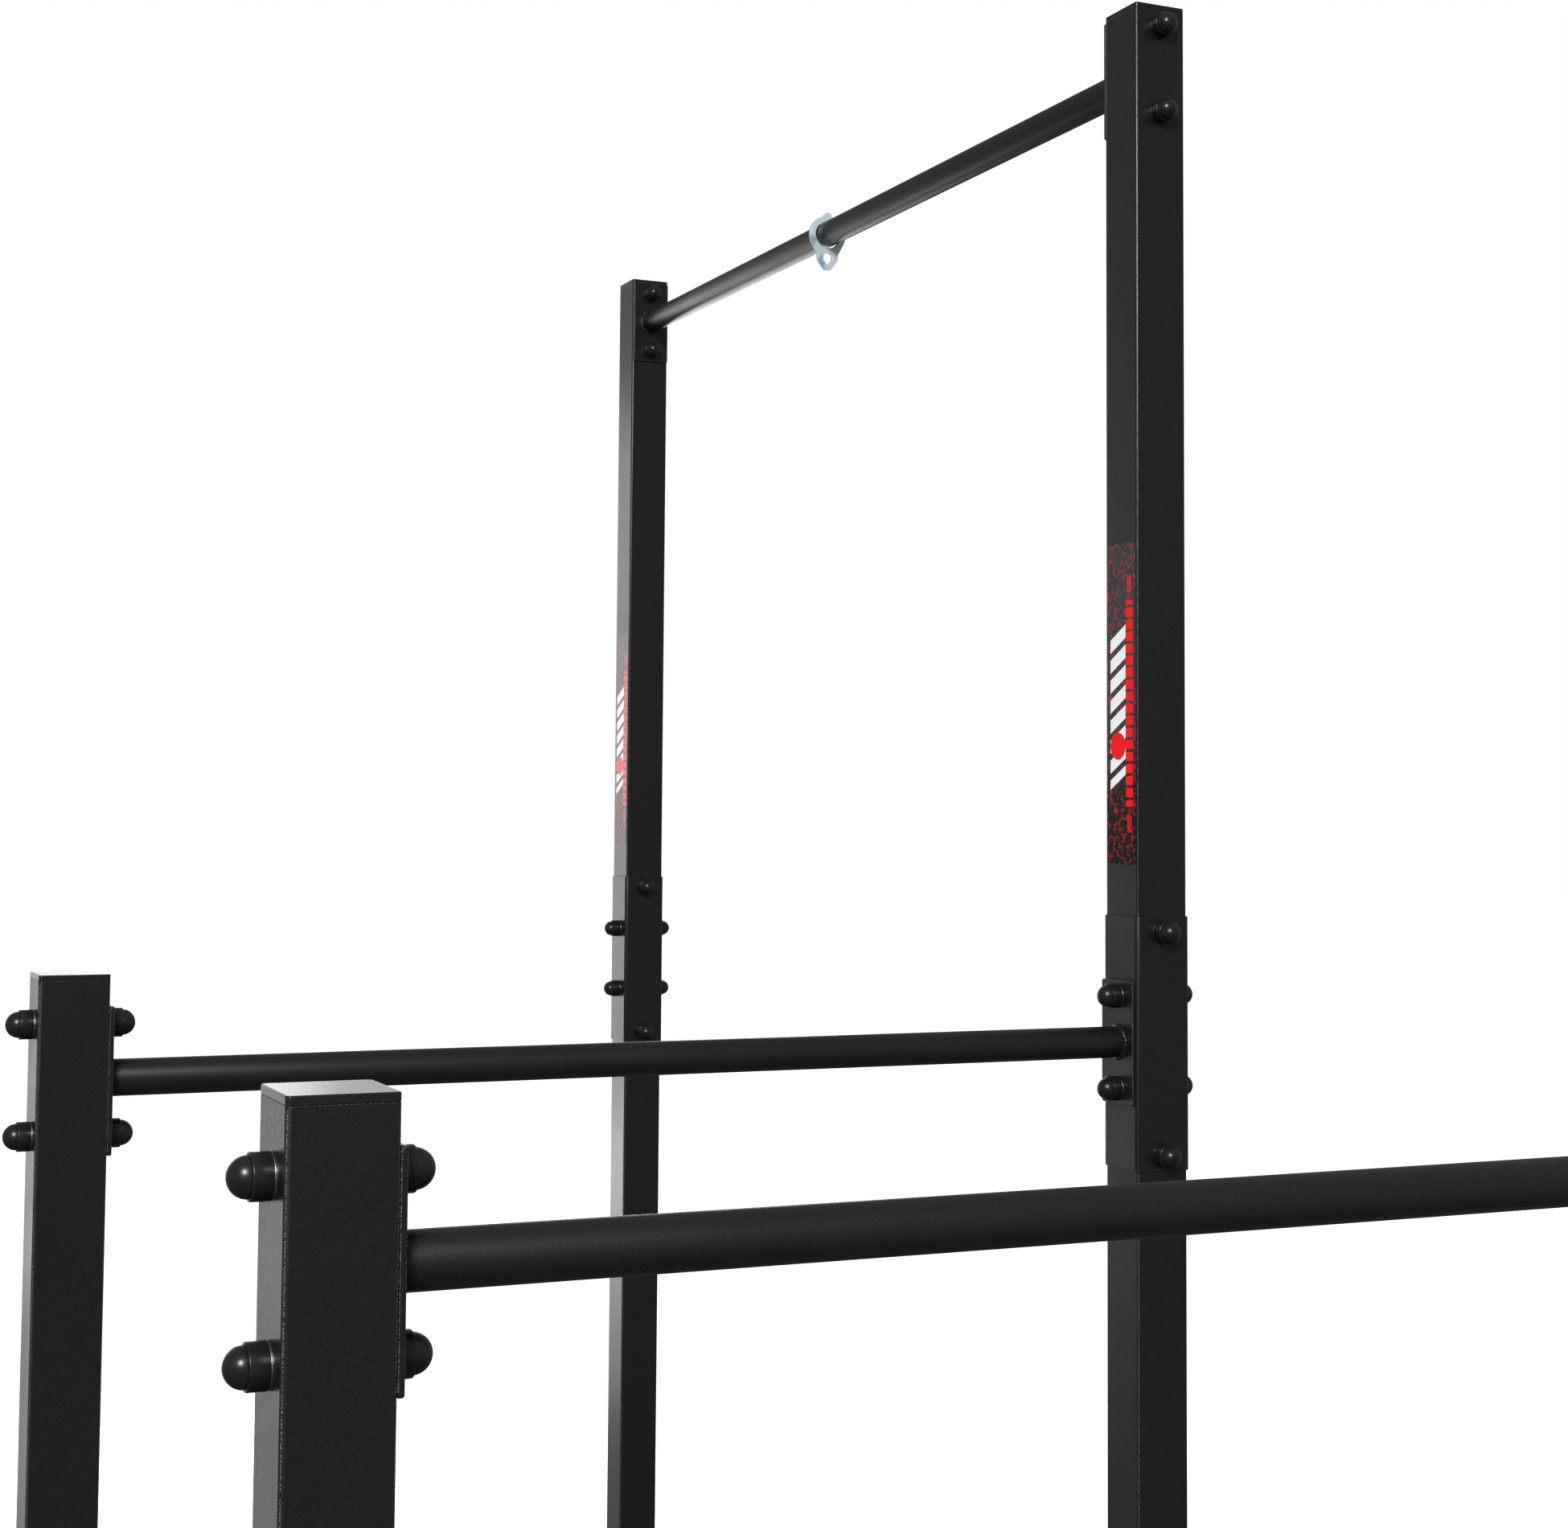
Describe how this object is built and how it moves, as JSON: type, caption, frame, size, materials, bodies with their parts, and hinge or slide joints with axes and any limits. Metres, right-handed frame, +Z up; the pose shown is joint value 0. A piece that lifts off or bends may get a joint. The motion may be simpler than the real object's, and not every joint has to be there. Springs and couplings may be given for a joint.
{
  "type": "calisthenics station",
  "caption": "Outdoor pull-up and dip station: square steel posts bolted together with round bars, coupler sleeves, capped bolts and a plate hanger on the pull-up bar.",
  "frame": {"origin": "on the floor, at the middle of the footprint of the five base plates", "axes": "+X along the pull-up bar, from the far tall post to the free-standing dip frame; the dip bars run along Y, with the short posts at -Y; +Z up"},
  "size_m": [2.503, 1.235, 2.18],
  "materials": {
    "frame_coat": "black fine-textured powder coat, satin",
    "end_cap_plastic": "smooth moulded black plastic",
    "bolt_cover_plastic": "smooth black plastic with a soft gloss",
    "zinc_plate": "bluish bright zinc plating",
    "sticker_print": "printed vinyl, slate ground with red and white pattern"
  },
  "bodies": {
    "frame": {"bolt_dip_fixed_short_lower": "bolt_cover_plastic", "bolt_dip_fixed_short_upper": "bolt_cover_plastic", "bolt_dip_fixed_tall_lower": "bolt_cover_plastic", "bolt_dip_fixed_tall_upper": "bolt_cover_plastic", "bolt_dip_free_front_lower": "bolt_cover_plastic", "bolt_dip_free_front_upper": "bolt_cover_plastic", "bolt_dip_free_rear_lower": "bolt_cover_plastic", "bolt_dip_free_rear_upper": "bolt_cover_plastic", "bolt_pull_up_left_lower": "bolt_cover_plastic", "bolt_pull_up_left_upper": "bolt_cover_plastic", "bolt_pull_up_right_lower": "bolt_cover_plastic", "bolt_pull_up_right_upper": "bolt_cover_plastic", "bolt_sleeve_left_x_lower": "bolt_cover_plastic", "bolt_sleeve_left_x_upper": "bolt_cover_plastic", "bolt_sleeve_left_y_lower": "bolt_cover_plastic", "bolt_sleeve_left_y_upper": "bolt_cover_plastic", "bolt_sleeve_right_x_lower": "bolt_cover_plastic", "bolt_sleeve_right_x_upper": "bolt_cover_plastic", "coupler_sleeve_left": "frame_coat", "coupler_sleeve_right": "frame_coat", "dip_bar_fixed": "frame_coat", "dip_bar_free": "frame_coat", "end_cap_short_fixed": "end_cap_plastic", "end_cap_short_free_front": "end_cap_plastic", "end_cap_short_free_rear": "end_cap_plastic", "end_cap_tall_left": "end_cap_plastic", "end_cap_tall_right": "end_cap_plastic", "nut_dip_fixed_short_lower": "bolt_cover_plastic", "nut_dip_fixed_short_upper": "bolt_cover_plastic", "nut_dip_fixed_tall_lower": "bolt_cover_plastic", "nut_dip_fixed_tall_upper": "bolt_cover_plastic", "nut_dip_free_front_lower": "bolt_cover_plastic", "nut_dip_free_front_upper": "bolt_cover_plastic", "nut_dip_free_rear_lower": "bolt_cover_plastic", "nut_dip_free_rear_upper": "bolt_cover_plastic", "nut_pull_up_left_lower": "bolt_cover_plastic", "nut_pull_up_left_upper": "bolt_cover_plastic", "nut_pull_up_right_lower": "bolt_cover_plastic", "nut_pull_up_right_upper": "bolt_cover_plastic", "nut_sleeve_left_x_lower": "bolt_cover_plastic", "nut_sleeve_left_x_upper": "bolt_cover_plastic", "nut_sleeve_left_y_lower": "bolt_cover_plastic", "nut_sleeve_left_y_upper": "bolt_cover_plastic", "nut_sleeve_right_x_lower": "bolt_cover_plastic", "nut_sleeve_right_x_upper": "bolt_cover_plastic", "pull_up_bar": "frame_coat", "short_post_fixed": "frame_coat", "short_post_free_front": "frame_coat", "short_post_free_rear": "frame_coat", "sticker_left": "sticker_print", "sticker_right": "sticker_print", "tall_post_left_lower": "frame_coat", "tall_post_left_upper": "frame_coat", "tall_post_right_lower": "frame_coat", "tall_post_right_upper": "frame_coat"},
    "hanger": {"bar_hanger": "zinc_plate"}
  },
  "joints": [
    {"name": "hanger_swing", "type": "hinge", "parent": "frame", "child": "hanger", "pos_m": [-0.4995, 0.5475, 2.111], "axis": [1, 0, 0], "continuous": true}
  ]
}
